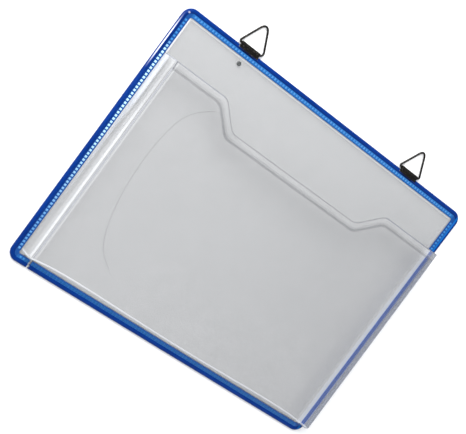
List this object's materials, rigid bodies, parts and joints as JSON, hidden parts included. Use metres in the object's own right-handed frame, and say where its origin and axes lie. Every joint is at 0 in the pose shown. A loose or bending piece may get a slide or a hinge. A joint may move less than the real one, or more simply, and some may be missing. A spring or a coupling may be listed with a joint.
{
  "type": "hanging document pocket",
  "caption": "Clear film document pocket with blue welded edging round a wire frame, a boxed front and two hanging rings on its top edge.",
  "frame": {"origin": "middle of the footprint, rings included, on the surface that the back lies on", "axes": "+Z out of the pocket's front, +Y towards the hanging rings, +X to the right seen from the front"},
  "size_m": [0.326, 0.2694, 0.0225],
  "materials": {
    "frame_wire": "drawn steel wire",
    "edging": "translucent blue film, glossy",
    "back_film": "clear film, slightly hazy",
    "pocket_film": "clear film, slightly hazy",
    "blackened_steel": "blackened, worn to brown"
  },
  "bodies": {
    "case": {"frame_wire": "frame_wire", "edge_binding": "edging", "back_sheet": "back_film", "box_pocket": "pocket_film", "left_clip": "blackened_steel", "right_clip": "blackened_steel", "eyelet": "blackened_steel"},
    "left_hanger": {"left_ring": "blackened_steel"},
    "right_hanger": {"right_ring": "blackened_steel"}
  },
  "joints": [
    {"name": "left_ring_swing", "type": "hinge", "parent": "case", "child": "left_hanger", "pos_m": [-0.0994, 0.11328, 0.0021], "axis": [1, 0, 0], "range_deg": [-125, 125]},
    {"name": "right_ring_swing", "type": "hinge", "parent": "case", "child": "right_hanger", "pos_m": [0.0897, 0.11328, 0.0021], "axis": [1, 0, 0], "range_deg": [-125, 125]}
  ]
}
